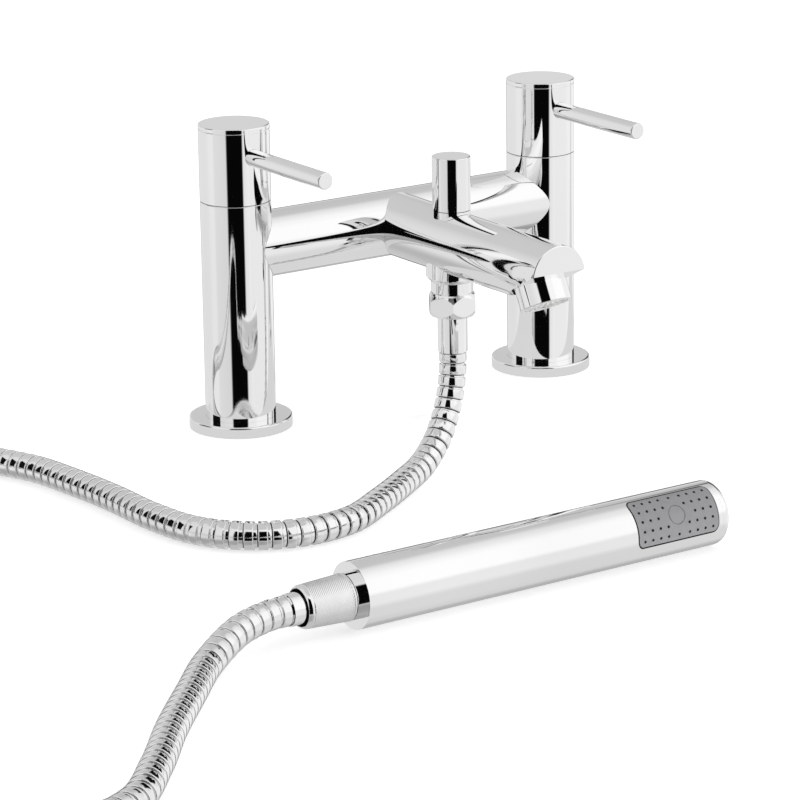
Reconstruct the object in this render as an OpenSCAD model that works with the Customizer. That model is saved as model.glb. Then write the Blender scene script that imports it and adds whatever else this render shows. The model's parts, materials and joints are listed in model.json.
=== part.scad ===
// Deck-mounted bath shower mixer: two pillars with quarter-turn lever handles, a cross bar,
// a bath spout with a pull-up diverter, and a baton handset on a ribbed metal hose.
// Origin: midway between the two inlets, on the deck. +X to the right-hand inlet, the spout
// points to -Y, +Z up. Millimetres.

/* [Pillars] */
// Distance between the two inlets
inlet_distance = 180; // [150:1:220]
// Diameter of each pillar and of the handle on it
pillar_d = 34; // [32:0.5:38]
// Height of a pillar, from the deck to the handle joint
pillar_h = 112; // [106:1:130]
// Diameter of the cover flange at a pillar's foot
flange_d = 50; // [46:0.5:60]
// Thickness of the cover flange
flange_t = 5.5; // [4:0.25:8]
// Thickness of the rubber seal under a pillar
seal_t = 1.5; // [1:0.25:2.5]
// Diameter of the threaded inlet tail, over its thread
tail_d = 26.4; // [24:0.1:27]
// Length of the tail below the deck
tail_l = 45; // [30:1:60]
// Bore of the inlet tail
tail_bore = 19; // [15:0.5:21]
// Bore of the pillar's waterway, below its valve
waterway_d = 20; // [16:0.5:22]

/* [Valves] */
// Depth of the valve seat below the handle joint
valve_depth = 34; // [30:0.5:40]
// Bore of the valve chamber in the pillar
chamber_d = 25; // [22:0.5:29]
// Diameter of the valve spindle
spindle_d = 8; // [6:0.5:9]
// Thickness of each ceramic disc
disc_t = 3; // [2:0.25:3.5]

/* [Handles] */
// Height of a handle with its cap
handle_h = 37; // [34:0.5:45]
// Thickness of the handle's top cap
cap_t = 2.2; // [1.5:0.1:3]
// Depth of the lever's axis below the top of the handle
lever_drop = 14; // [12:0.5:17]
// Diameter of the lever rod
lever_d = 8; // [6:0.25:9]
// Reach of the lever's tip from the pillar's axis
lever_reach = 80; // [60:1:110]

/* [Bar and spout] */
// Depth of the bar's and the spout's axis below the handle joint
bar_drop = 24; // [21:0.5:28]
// Diameter of the cross bar
bar_d = 32; // [28:0.25:34]
// Bore of the cross bar
bar_bore = 23; // [18:0.5:25]
// Diameter of the spout where it leaves the bar
spout_root_d = 31.4; // [29:0.1:34]
// Diameter of the spout at its tip
spout_tip_d = 30; // [27:0.1:33]
// Reach of the spout's end face from the bar's axis
spout_reach = 138; // [125:1:170]
// Height of the end face's lower edge above the spout's axis
lip_rise = 2; // [0:0.25:4]
// Forward tilt of the water nozzle
nozzle_tilt = 27; // [20:1:32]
// Diameter of the water nozzle
nozzle_d = 24.4; // [20:0.2:26]
// Length of the nozzle below the spout
nozzle_l = 11; // [8:0.5:14]

/* [Diverter and shower outlet] */
// Distance of the diverter and the outlet in front of the bar's axis
outlet_y = 51; // [46:0.5:60]
// Diameter of the diverter knob
knob_d = 18.5; // [16:0.25:20]
// Height of the diverter knob
knob_h = 26; // [20:0.5:30]
// Lift of the diverter knob
knob_lift = 8; // [5:0.5:9]
// Diameter of the outlet boss under the spout
boss_d = 25; // [24:0.5:27]
// Diameter of the outlet thread at its root
thread_d = 18.6; // [17:0.1:19]
// Wall of the hose nut round its thread, at the middle of a flat
nut_wall = 1.65; // [1.4:0.05:2.5]
// Height of the hose nut
nut_h = 11.5; // [11:0.25:16]

/* [Hose] */
// Outer diameter of the hose over its ribs
hose_d = 13.4; // [12:0.1:14]
// Bore of the hose
hose_bore = 8; // [7:0.1:8.6]
// Depth of the groove between two ribs
rib_depth = 0.8; // [0.4:0.05:1]
// Number of ribs along the hose
rib_count = 200; // [100:1:200]
// Length of the crimped sleeve at each end of the hose
ferrule_l = 17.7; // [14:0.1:20]
// Wall of the crimped sleeve
ferrule_wall = 0.45; // [0.3:0.05:0.6]

/* [Handset] */
// Diameter of the handset
handset_d = 30; // [28:0.25:34]
// Length of the handset without its cone nut
handset_l = 197; // [180:1:240]
// Wall of the handset's tube
handset_wall = 2.4; // [2:0.1:2.6]
// Length of the handset's end cap
end_cap_l = 5; // [3:0.25:8]
// Length of the spray plate along the handset
plate_l = 44.8; // [38:0.1:46]
// Width of the spray plate, straight across
plate_w = 21; // [18:0.5:22]
// Direction in which the spray plate faces, from upright towards the front
plate_turn = 59.5; // [0:0.5:90]
// Distance of the middle of the spray plate from the handset's far end
plate_from_end = 30.6; // [28:0.1:60]
// Distance of the last nozzles from the plate's ends
nozzle_margin = 3.1; // [1.5:0.05:4]
// Angle between the rows of nozzles
row_angle = 17; // [14:0.5:18]
// Diameter of one nozzle
nozzle_hole_d = 1.2; // [0.8:0.1:1.6]
// Length of the knurled cone nut
cone_l = 24.2; // [22:0.1:30]
// Wall of the cone nut round its thread, at its wide end
cone_wall = 1.25; // [1:0.05:2]
// Taper of the cone nut, on the radius, from its wide end to its nose
cone_taper = 0.9; // [0:0.05:1.2]

/* [Fits] */
// Radial clearance of parts that are screwed or pushed together
fit = 0.05; // [0.03:0.01:0.1]
// Gap beside parts that turn or slide in the open
run_gap = 0.3; // [0.3:0.05:0.5]
// Solder gap between the brazed tubes
braze_gap = 0.05; // [0.03:0.01:0.1]

/* [Hidden] */
$fn = 64;
left = -1;
right = 1;
chrome = "#d4d7da";
brass = "#c9a659";
rubber = "#26262a";
ceramic = "#eceae4";
white_plastic = "#e2e2e0";
spray_grey = "#8c8d90";
satin_chrome = "#bfc1c3";
dark_steel = "#55585c";
// Overlap of a cutting tool past the face that it cuts
cut = 1;

// Pillar, from the deck up
socket_h = 14;
// The tail is turned down where it enters the pillar, so that its thread ends at the deck
tail_step = 0.5;
inlet_neck_d = tail_d - 2 * tail_step;
socket_top = seal_t + socket_h;
seal_d = flange_d - 7;
web_t = 2;
port_d = 17;
seat_hole_d = 12;
bar_z = pillar_h - bar_drop;

// Valve, stacked on the seat
seat_z = pillar_h - valve_depth;
seat_seal_t = 2;
valve_d = chamber_d - 3;
valve_bore = valve_d - 5;
disc_z = seat_z + seat_seal_t;
foot_z = disc_z + 2 * disc_t;
foot_t = 2.5;
bonnet_l = 9;
valve_top = pillar_h - bonnet_l;
bonnet_hex_t = 5;
bonnet_af = chamber_d - 5;
ring_t = 2;
ring_w = 1.5;
ring_z = pillar_h - 5;
window_w = 9;
window_z = foot_z + foot_t + 1;
dog_d = 2.4;
dog_h = 1.4;
dog_x = valve_bore / 2 - 2.9;
disc_hole_d = 5;
disc_hole_x = valve_bore / 2 - 3.9;

// Handle
handle_z = pillar_h + run_gap;
handle_top = handle_z + handle_h;
cap_z = handle_top - cap_t;
cavity_d = chamber_d + 1;
cavity_h = bonnet_hex_t + 1.5;
lever_z = handle_top - lever_drop;
spindle_top = lever_z - lever_d / 2 - 1.5;
lever_root = 6;
cap_spigot_d = 18;
cap_spigot_h = 3.5;
grub_d = 5;
grub_recess = 4.95;
grub_y = spindle_d / 2 + fit;
grub_l = pillar_d / 2 - grub_recess - grub_y;
grub_z = (handle_z + cavity_h + spindle_top) / 2;

// Spout, nozzle and diverter
lip_z = bar_z + lip_rise;
nozzle_back = 17;
nozzle_thread_d = nozzle_d - 4.6;
nozzle_thread_l = 6;
nozzle_washer_t = 1.5;
nozzle_mouth_d = nozzle_d - 3.4;
nozzle_web = 2.8;
insert_recess = 1.2;
insert_l = nozzle_l - nozzle_web - insert_recess;
spout_bore = 22;
spout_wall = 3;
// The coped root ends in a narrow land instead of a feather edge, above and below the bar
saddle_land = 0.8;
saddle_y = saddle_land + sqrt(max(0, pow(bar_d / 2 + braze_gap, 2) - pow(spout_root_d / 2, 2)));
spout_bore_end = spout_reach - (lip_rise + spout_bore / 2 + spout_wall) / tan(nozzle_tilt);
neck_bore = 12;
knob_seat_rise = 16;
knob_seat_z = bar_z + knob_seat_rise;
knob_z = knob_seat_z + run_gap;
knob_cavity_d = knob_d - 4;
knob_cavity_h = 7;
stem_d = 6;
stem_into_knob = 14;
guide_d = 13;
diverter_seat_drop = 10;
diverter_seat_z = bar_z - diverter_seat_drop;
valve_disc_d = 17;
valve_disc_t = 3;
valve_washer_t = 2;
pocket_d = 19;
// The guide's lower end stops the diverter's disc at the top of its lift
guide_z = diverter_seat_z + valve_washer_t + valve_disc_t + knob_lift + run_gap;

// Shower outlet, hose nut and hose end, from the boss down
boss_drop = 16.7;
boss_z = bar_z - boss_drop;
boss_chamfer = 2.3;
boss_low = boss_z - boss_chamfer;
collar_d = boss_d - 2 * boss_chamfer;
spigot_shoulder = 2.2;
spigot_d = collar_d - 2 * spigot_shoulder;
spigot_l = 7;
outlet_wall = 1.8;
outlet_bore = spigot_d - 2 * outlet_wall;
collar_l = 5.2;
collar_low = boss_low - collar_l;
nut_top = collar_low - 0.5;
nut_low = nut_top - nut_h;
nut_af = thread_d + 2 * fit + 2 * nut_wall;
lip_t = 2;
nut_turn = -2.5;
tail_flange_t = 1.5;
tail_flange_d = thread_d - 0.6;
tail_neck_d = hose_d - 1;
washer_t = 1.8;
washer_bore = 11;
spigot_gap = 0.3;
hose_spigot_d = hose_bore - 0.6;
hose_spigot_l = 13;
// Distance from the seat of the hose tail's flange to the end face of the hose
tail_neck_l = lip_t + run_gap;
hose_top = nut_low - run_gap;
thread_low = nut_low + lip_t + tail_flange_t + washer_t;

// Handset, lying with its axis along X on a surface below the deck
rest_z = -25;
handset_at = [-169, -217, rest_z + handset_d / 2];
tube_l = handset_l - end_cap_l;
tube_bore = handset_d - 2 * handset_wall;
end_wall = 3;
cone_d = thread_d + 2 * fit + 2 * cone_wall;
cone_nose_d = cone_d - 2 * cone_taper;
inlet_collar_d = cone_d - 0.2;
inlet_collar_l = 3;
inlet_spigot_d = 14;
inlet_spigot_l = 8;
inlet_bore = 9;
stub_l = 5.9;
handset_washer_t = 2;
stub_end = inlet_collar_l + stub_l;
shoulder = stub_end + handset_washer_t + tail_flange_t;
hose_end = shoulder + tail_neck_l;
cone_gap = 0.2;
cone_hole_d = hose_d + 2 * ferrule_wall + 2 * fit + 2 * run_gap;
nose_round = 3.5;
inner_tube_d = 12;
cap_spigot_l = 3;
cap_round = min(4, end_cap_l - 0.5);
plate_centre = handset_l - plate_from_end;
plate_proud = 0.25;
plate_corner = 2.6;
plate_seam = 0.25;
chamber_gap = 0.1;
plate_gap = 0.2;
chamber_from = plate_centre - plate_l / 2 - 4;
chamber_to = tube_l - cap_spigot_l - 0.2;
mark_d = 9;
mark_w = 0.4;
mark_depth = 0.3;

// The hose lies on the surface below the deck. Its route leaves the outlet straight down,
// bends on to that surface, goes round to the left and comes back to the handset.
lie = rest_z + hose_d / 2;
hose_start = [0, -outlet_y, hose_top];
hose_finish = handset_at - [hose_end, 0, 0];
hose_route = concat(
    [for (part = [0 : 3]) hose_start - [0, 0, part * ferrule_l / 3]],
    [[-0.7, -51.5, 22.3], [-4.7, -53.7, 8.4], [-13.9, -58.5, -5.4], [-28.5, -66, -15.1]],
    [[-46.5, -76, lie], [-71.1, -93.1, lie], [-97.9, -108.9, lie], [-125, -111.4, lie]],
    [[-148.6, -101, lie], [-164.2, -80.2, lie], [-169.8, -50, lie], [-170.7, -16, lie]],
    [[-173.8, 18.1, lie], [-179.4, 50, lie], [-195.8, 80.9, lie], [-226.3, 98.4, lie]],
    [[-259.7, 95.3, lie], [-286.9, 72.5, lie], [-303.9, 35.9, lie], [-328, -20, lie]],
    [[-354, -80, lie], [-380, -140, lie], [-406, -200, lie], [-428, -252, lie]],
    [[-436.9, -285.9, lie], [-430.7, -320.4, lie], [-409.8, -344.1, lie], [-380.1, -352.8, lie]],
    [[-349.8, -343.8, lie], [-323.7, -317, lie], [-299.6, -287.4, lie], [-272.2, -257, lie]],
    [[-251.5, -235, -17.7], [-229.9, -222.1, -12.7], [-213.9, -217.7, -10.5]],
    [for (part = [3 : -1 : 0]) hose_finish - [part * ferrule_l / 3, 0, 0]]
);
curve_steps = 8;
tube_sides = 8;
bore_every = 4;

// Smooth curve through a list of points, and places along it
function bend(a, b, c, d, t) =
    0.5 * (2 * b + (c - a) * t + (2 * a - 5 * b + 4 * c - d) * t * t
           + (3 * b - a - 3 * c + d) * t * t * t);
function smooth(p) =
    let (last = len(p) - 1)
    concat(
        [for (i = [0 : last - 1]) for (j = [0 : curve_steps - 1])
            bend(p[max(i - 1, 0)], p[i], p[i + 1], p[min(i + 2, last)], j / curve_steps)],
        [p[last]]);
function lengths(c) =
    [for (i = 0, s = 0; i < len(c); s = s + (i + 1 < len(c) ? norm(c[i + 1] - c[i]) : 0), i = i + 1) s];
function column(c, s, axis) = [for (i = [0 : len(c) - 1]) [s[i], c[i][axis]]];
function unit(v) = v / norm(v);
function square_to(u, t) = unit(u - (u * t) * t);

hose_curve = smooth(hose_route);
hose_lengths = lengths(hose_curve);
hose_length = hose_lengths[len(hose_lengths) - 1];
hose_columns = [for (axis = [0 : 2]) column(hose_curve, hose_lengths, axis)];
function hose_at(s) = [for (axis = [0 : 2]) lookup(s, hose_columns[axis])];
function hose_way(s) =
    unit(hose_at(min(s + 1, hose_length)) - hose_at(max(s - 1, 0)));

// Rings of the hose: plain ends inside the sleeves, and a groove and a crest for every rib
rib_pitch = (hose_length - 2 * ferrule_l) / rib_count;
ring_places = concat(
    [[0, hose_d / 2]],
    [for (i = [0 : rib_count - 1]) each [
        [ferrule_l + i * rib_pitch, hose_d / 2 - rib_depth],
        [ferrule_l + (i + 0.5) * rib_pitch, hose_d / 2]]],
    [[hose_length - ferrule_l, hose_d / 2 - rib_depth], [hose_length, hose_d / 2]]);
ring_ways = [for (r = ring_places) hose_way(r[0])];
ring_sides = [for (i = 0, u = [1, 0, 0]; i < len(ring_ways);
                   i = i + 1, u = i < len(ring_ways) ? square_to(u, ring_ways[i]) : u) u];
function ring(i, radius) =
    let (at = hose_at(ring_places[i][0]), u = ring_sides[i], v = cross(ring_ways[i], u))
    [for (k = [0 : tube_sides - 1])
        at + radius * (cos(360 * k / tube_sides) * u + sin(360 * k / tube_sides) * v)];

// Least clear distance between stretches of the hose that aren't neighbours along it
gap_step = 10;
gap_apart = 8;
gap_points = [for (s = [0 : gap_step : hose_length]) hose_at(s)];
hose_gap = min([for (i = [0 : len(gap_points) - 1]) for (j = [i + gap_apart : 1 : len(gap_points) - 1])
                norm(gap_points[i] - gap_points[j])]) - hose_d;
echo(hose_length = hose_length, hose_gap_to_itself = hose_gap, rib_pitch = rib_pitch);

// Placing
module at_inlet(side) {
    translate([side * inlet_distance / 2, 0, 0]) children();
}

module at_outlet() {
    translate([0, -outlet_y, 0]) children();
}

// +Z of the children points along the spout, from the bar's axis
module along_spout() {
    translate([0, 0, bar_z]) rotate([90, 0, 0]) children();
}

// +Z of the children points out of the spout's slanted underside, from the nozzle's centre
module at_nozzle() {
    translate([0, -spout_reach, lip_z])
        rotate([180 - nozzle_tilt, 0, 0])
            translate([0, -nozzle_back, 0]) children();
}

// +Z of the children points along the handset, from its inlet face
module at_handset() {
    translate(handset_at) rotate([0, 90, 0]) children();
}

// +X of the children points out of the middle of the spray plate
module at_spray() {
    translate([0, 0, plate_centre]) rotate([0, 0, 180 + plate_turn]) children();
}

// Shapes that repeat
module ring_of(outer, inner, h) {
    difference() {
        cylinder(d = outer, h = h);
        translate([0, 0, -cut]) cylinder(d = inner, h = h + 2 * cut);
    }
}

// Turned bar with a rounded upper edge
module rounded_bar(d, h, edge) {
    rotate_extrude() intersection() {
        square([d / 2, h]);
        union() {
            square([d / 2 - edge, h]);
            square([d / 2, h - edge]);
            translate([d / 2 - edge, h - edge]) circle(r = edge);
        }
    }
}

module rounded_rectangle(l, w, corner) {
    square([l - 2 * corner, w], center = true);
    square([l, w - 2 * corner], center = true);
    for (x = [-1, 1]) for (y = [-1, 1])
        translate([x * (l / 2 - corner), y * (w / 2 - corner)]) circle(r = corner);
}

module hexagon(af, h) {
    cylinder(d = af / cos(30), h = h, $fn = 6);
}

// Pillar pieces
module pillar(side) {
    color(chrome) at_inlet(side) difference() {
        translate([0, 0, seal_t]) cylinder(d = pillar_d, h = pillar_h - seal_t);
        translate([0, 0, seal_t - cut]) cylinder(d = inlet_neck_d + 2 * fit, h = socket_h + cut);
        translate([0, 0, seal_t]) cylinder(d = waterway_d, h = seat_z - web_t - seal_t);
        translate([0, 0, seal_t]) cylinder(d = seat_hole_d, h = seat_z);
        translate([0, 0, seat_z]) cylinder(d = chamber_d, h = pillar_h);
        translate([0, 0, bar_z]) rotate([0, -side * 90, 0]) cylinder(d = port_d, h = pillar_d);
    }
}

module base_flange(side) {
    color(chrome) at_inlet(side) difference() {
        rounded_bar(flange_d, flange_t, 1);
        translate([0, 0, -cut]) cylinder(d = pillar_d + 2 * fit, h = flange_t + 2 * cut);
        translate([0, 0, -cut]) cylinder(d = seal_d + 2 * fit, h = seal_t + cut);
    }
}

module base_seal(side) {
    color(rubber) at_inlet(side) ring_of(seal_d, tail_d + 2 * run_gap, seal_t);
}

module inlet_tail(side) {
    color(brass) at_inlet(side) difference() {
        union() {
            translate([0, 0, -tail_l]) cylinder(d = tail_d, h = tail_l);
            translate([0, 0, -tail_l]) cylinder(d = inlet_neck_d, h = tail_l + socket_top);
        }
        translate([0, 0, -tail_l - cut]) cylinder(d = tail_bore, h = tail_l + socket_top + 2 * cut);
    }
}

// Valve pieces
module seat_seal(side) {
    color(rubber) at_inlet(side) translate([0, 0, seat_z])
        ring_of(valve_d, seat_hole_d + 1, seat_seal_t);
}

module valve_body(side) {
    color(brass) at_inlet(side) difference() {
        translate([0, 0, disc_z]) ring_of(valve_d, valve_bore, valve_top - disc_z);
        translate([-valve_d, -window_w / 2, window_z])
            cube([2 * valve_d, window_w, valve_top - window_z - 3]);
    }
}

module valve_disc(turn) {
    difference() {
        cylinder(d = valve_bore - 2 * fit, h = disc_t);
        for (x = [-1, 1])
            rotate([0, 0, turn]) translate([x * disc_hole_x, 0, -cut])
                cylinder(d = disc_hole_d, h = disc_t + 2 * cut);
    }
}

module fixed_disc(side) {
    color(ceramic) at_inlet(side) translate([0, 0, disc_z]) valve_disc(0);
}

module moving_disc(side) {
    color(ceramic) at_inlet(side) difference() {
        translate([0, 0, disc_z + disc_t]) valve_disc(90);
        for (x = [-1, 1])
            translate([x * dog_x, 0, foot_z - dog_h - fit])
                cylinder(d = dog_d + 2 * fit, h = dog_h + cut);
    }
}

module spindle(side) {
    color(brass) at_inlet(side) {
        translate([0, 0, foot_z]) cylinder(d = valve_bore - 2 * run_gap, h = foot_t);
        translate([0, 0, foot_z]) cylinder(d = spindle_d, h = spindle_top - foot_z);
        for (x = [-1, 1])
            translate([x * dog_x, 0, foot_z - dog_h]) cylinder(d = dog_d, h = dog_h + foot_t);
    }
}

module spindle_ring(side) {
    color(rubber) at_inlet(side) translate([0, 0, ring_z])
        ring_of(spindle_d + 2 * ring_w, spindle_d + 2 * fit, ring_t);
}

module bonnet(side) {
    color(brass) at_inlet(side) difference() {
        union() {
            translate([0, 0, valve_top]) cylinder(d = chamber_d - 2 * fit, h = bonnet_l);
            translate([0, 0, pillar_h]) hexagon(bonnet_af, bonnet_hex_t);
        }
        translate([0, 0, valve_top - cut])
            cylinder(d = spindle_d + 2 * fit, h = bonnet_l + bonnet_hex_t + 2 * cut);
        translate([0, 0, ring_z])
            cylinder(d = spindle_d + 2 * ring_w + 2 * fit, h = ring_t);
    }
}

// Handle pieces
module handle(side) {
    color(chrome) at_inlet(side) difference() {
        translate([0, 0, handle_z]) cylinder(d = pillar_d, h = cap_z - handle_z);
        translate([0, 0, handle_z - cut]) cylinder(d = cavity_d, h = cavity_h + cut);
        translate([0, 0, handle_z]) cylinder(d = spindle_d + 2 * fit, h = spindle_top + 0.5 - handle_z);
        translate([0, 0, cap_z - cap_spigot_h - run_gap])
            cylinder(d = cap_spigot_d + 2 * fit, h = cap_spigot_h + run_gap + cut);
        translate([0, -lever_root + run_gap, lever_z]) rotate([90, 0, 0])
            cylinder(d = lever_d + 2 * fit, h = pillar_d);
        translate([0, 0, grub_z]) rotate([-90, 0, 0]) cylinder(d = grub_d + 2 * fit, h = pillar_d);
    }
}

module handle_cap(side) {
    color(chrome) at_inlet(side) {
        translate([0, 0, cap_z + 0.15]) rounded_bar(pillar_d, cap_t - 0.15, 0.5);
        translate([0, 0, cap_z]) cylinder(d = pillar_d - 0.8, h = cap_t / 2);
        translate([0, 0, cap_z - cap_spigot_h]) cylinder(d = cap_spigot_d, h = cap_spigot_h + cap_t / 2);
    }
}

module lever(side) {
    color(chrome) at_inlet(side) translate([0, -lever_root, lever_z]) rotate([90, 0, 0])
        rounded_bar(lever_d, lever_reach - lever_root, 0.6);
}

module grub_screw(side) {
    color(dark_steel) at_inlet(side) translate([0, grub_y, grub_z]) rotate([-90, 0, 0])
        difference() {
            cylinder(d = grub_d, h = grub_l);
            translate([0, 0, grub_l - 2.5]) hexagon(2.5, 2.5 + cut);
        }
}

// Bar and spout
module bar_stock(extra) {
    translate([-inlet_distance / 2, 0, bar_z]) rotate([0, 90, 0])
        cylinder(d = bar_d + 2 * extra, h = inlet_distance);
}

module cross_bar() {
    color(chrome) difference() {
        bar_stock(0);
        for (side = [left, right]) at_inlet(side)
            cylinder(d = pillar_d + 2 * braze_gap, h = pillar_h + cut);
        translate([-inlet_distance / 2, 0, bar_z]) rotate([0, 90, 0])
            cylinder(d = bar_bore, h = inlet_distance);
        along_spout() cylinder(d = spout_bore - 2, h = bar_d);
    }
}

module spout_stock() {
    edge = 0.8;
    root_r = spout_root_d / 2;
    tip_r = spout_tip_d / 2;
    edge_r = tip_r + 0.1 - edge;
    along_spout() rotate_extrude() intersection() {
        polygon([[0, 0], [root_r, 0], [tip_r, spout_reach], [0, spout_reach]]);
        union() {
            square([edge_r, spout_reach]);
            square([root_r + tip_r, spout_reach - edge]);
            translate([edge_r, spout_reach - edge]) circle(r = edge);
        }
    }
    at_outlet() translate([0, 0, bar_z]) cylinder(d = knob_d, h = knob_seat_z - bar_z);
    at_outlet() translate([0, 0, boss_low]) cylinder(d1 = collar_d, d2 = boss_d, h = boss_chamfer);
    at_outlet() translate([0, 0, boss_z]) cylinder(d = boss_d, h = bar_z - boss_z);
}

module spout() {
    color(chrome) difference() {
        spout_stock();
        bar_stock(braze_gap);
        translate([-bar_d, -saddle_y, bar_z - bar_d]) cube(2 * bar_d);
        at_nozzle() translate([0, 0, spout_reach / 2])
            cube([2 * bar_d, 2 * spout_reach, spout_reach], center = true);
        along_spout() cylinder(d = spout_bore, h = spout_bore_end);
        along_spout() cylinder(d = neck_bore, h = spout_reach - nozzle_back);
        at_nozzle() translate([0, 0, -nozzle_thread_l - nozzle_washer_t])
            cylinder(d = nozzle_thread_d + 2 * fit, h = nozzle_thread_l + nozzle_washer_t + cut);
        at_outlet() {
            translate([0, 0, guide_z]) cylinder(d = guide_d + 2 * fit, h = bar_d);
            translate([0, 0, diverter_seat_z]) cylinder(d = pocket_d, h = bar_z - diverter_seat_z);
            translate([0, 0, boss_low]) cylinder(d = outlet_bore, h = bar_z - boss_low);
            translate([0, 0, boss_low - cut])
                cylinder(d = spigot_d + 2 * fit, h = spigot_l + spigot_gap + cut);
        }
    }
}

module nozzle_housing() {
    color(chrome) at_nozzle() difference() {
        union() {
            rounded_bar(nozzle_d, nozzle_l, 0.5);
            translate([0, 0, -nozzle_thread_l]) cylinder(d = nozzle_thread_d, h = nozzle_thread_l + cut);
        }
        translate([0, 0, -nozzle_thread_l - cut])
            cylinder(d = nozzle_thread_d - 4, h = nozzle_l + nozzle_thread_l);
        translate([0, 0, nozzle_l - insert_recess - insert_l])
            cylinder(d = nozzle_mouth_d, h = nozzle_l);
    }
}

module nozzle_washer() {
    color(rubber) at_nozzle() translate([0, 0, -nozzle_thread_l - nozzle_washer_t])
        ring_of(nozzle_thread_d, neck_bore + 1, nozzle_washer_t);
}

module nozzle_insert() {
    mouth_r = nozzle_mouth_d / 2;
    ring_holes = [[6, mouth_r - 7.9], [12, mouth_r - 4.9], [18, mouth_r - 2.1]];
    color(white_plastic) at_nozzle() translate([0, 0, nozzle_l - insert_recess - insert_l])
        difference() {
            cylinder(d = nozzle_mouth_d - 2 * fit, h = insert_l);
            for (row = ring_holes) for (i = [0 : row[0] - 1])
                rotate([0, 0, 360 * i / row[0]]) translate([row[1], 0, -cut])
                    cylinder(d = 1.8, h = insert_l + 2 * cut);
        }
}

// Diverter
module diverter_knob() {
    color(chrome) at_outlet() difference() {
        translate([0, 0, knob_z]) rounded_bar(knob_d, knob_h, 0.5);
        translate([0, 0, knob_z - cut]) cylinder(d = knob_cavity_d, h = knob_cavity_h + cut);
        translate([0, 0, knob_z]) cylinder(d = stem_d + 2 * fit, h = stem_into_knob + fit);
    }
}

module diverter_stem() {
    washer_top = diverter_seat_z + valve_washer_t;
    color(brass) at_outlet() {
        translate([0, 0, washer_top]) cylinder(d = valve_disc_d, h = valve_disc_t);
        translate([0, 0, washer_top]) cylinder(d = stem_d, h = knob_z + stem_into_knob - washer_top);
        translate([0, 0, diverter_seat_z]) cylinder(d = stem_d, h = valve_washer_t);
    }
}

module diverter_washer() {
    color(rubber) at_outlet() translate([0, 0, diverter_seat_z])
        ring_of(valve_disc_d, stem_d + 2 * fit, valve_washer_t);
}

module diverter_guide() {
    color(brass) at_outlet() difference() {
        translate([0, 0, guide_z]) ring_of(guide_d, stem_d + 2 * fit, knob_seat_z - guide_z);
        translate([0, 0, guide_z + ring_t])
            cylinder(d = stem_d + 2 * ring_w + 2 * fit, h = ring_t);
    }
}

module diverter_ring() {
    color(rubber) at_outlet() translate([0, 0, guide_z + ring_t])
        ring_of(stem_d + 2 * ring_w, stem_d + 2 * fit, ring_t);
}

// Shower outlet and hose ends
module outlet_nipple() {
    color(chrome) at_outlet() difference() {
        union() {
            translate([0, 0, boss_low]) cylinder(d = spigot_d, h = spigot_l);
            translate([0, 0, collar_low]) cylinder(d = collar_d, h = collar_l);
            translate([0, 0, thread_low]) cylinder(d = thread_d, h = collar_low - thread_low);
        }
        translate([0, 0, thread_low - cut]) cylinder(d = outlet_bore, h = bar_z);
    }
}

// Six flats, rounded at both ends so that each flat shows as a near circle
module hose_nut() {
    outside_r = nut_af / cos(30) / 2 + 1;
    shoulder_h = 5.5;
    flat_r = nut_af / 2 - 0.2;
    color(chrome) at_outlet() translate([0, 0, nut_low]) difference() {
        intersection() {
            rotate([0, 0, nut_turn]) hexagon(nut_af, nut_h);
            rotate_extrude()
                polygon([[0, 0], [flat_r - 0.6, 0], [flat_r, 0.7], [outside_r, shoulder_h],
                         [outside_r, nut_h - shoulder_h], [flat_r, nut_h - 0.7],
                         [flat_r - 0.6, nut_h], [0, nut_h]]);
        }
        translate([0, 0, lip_t]) cylinder(d = thread_d + 2 * fit, h = nut_h);
        translate([0, 0, -cut]) cylinder(d = tail_neck_d + 2 * run_gap, h = nut_h);
    }
}

module hose_washer() {
    color(rubber) at_outlet() translate([0, 0, thread_low - washer_t])
        ring_of(tail_flange_d, washer_bore, washer_t);
}

// End fitting of the hose: +Z points away from the hose, from its end face
module hose_tail() {
    color(brass) difference() {
        union() {
            translate([0, 0, -hose_spigot_l]) cylinder(d = hose_spigot_d, h = hose_spigot_l + cut);
            cylinder(d = tail_neck_d, h = tail_neck_l);
            translate([0, 0, tail_neck_l]) cylinder(d = tail_flange_d, h = tail_flange_t);
        }
        translate([0, 0, -hose_spigot_l - cut])
            cylinder(d = hose_spigot_d - 2, h = hose_spigot_l + tail_neck_l + tail_flange_t + 2 * cut);
    }
}

module ferrule() {
    sleeve_bore = hose_d + 2 * fit;
    color(chrome) translate([0, 0, -ferrule_l])
        ring_of(sleeve_bore + 2 * ferrule_wall, sleeve_bore, ferrule_l);
}

module upper_hose_tail() {
    translate(hose_start) hose_tail();
}

module upper_ferrule() {
    translate(hose_start) ferrule();
}

module lower_hose_tail() {
    translate(hose_finish) rotate([0, 90, 0]) hose_tail();
}

module lower_ferrule() {
    translate(hose_finish) rotate([0, 90, 0]) ferrule();
}

// Faces between two rings of points that start at places a and b in the list
function band(a, b) =
    [for (k = [0 : tube_sides - 1]) let (n = (k + 1) % tube_sides)
        each [[a + k, b + k, b + n], [a + k, b + n, a + n]]];

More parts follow.
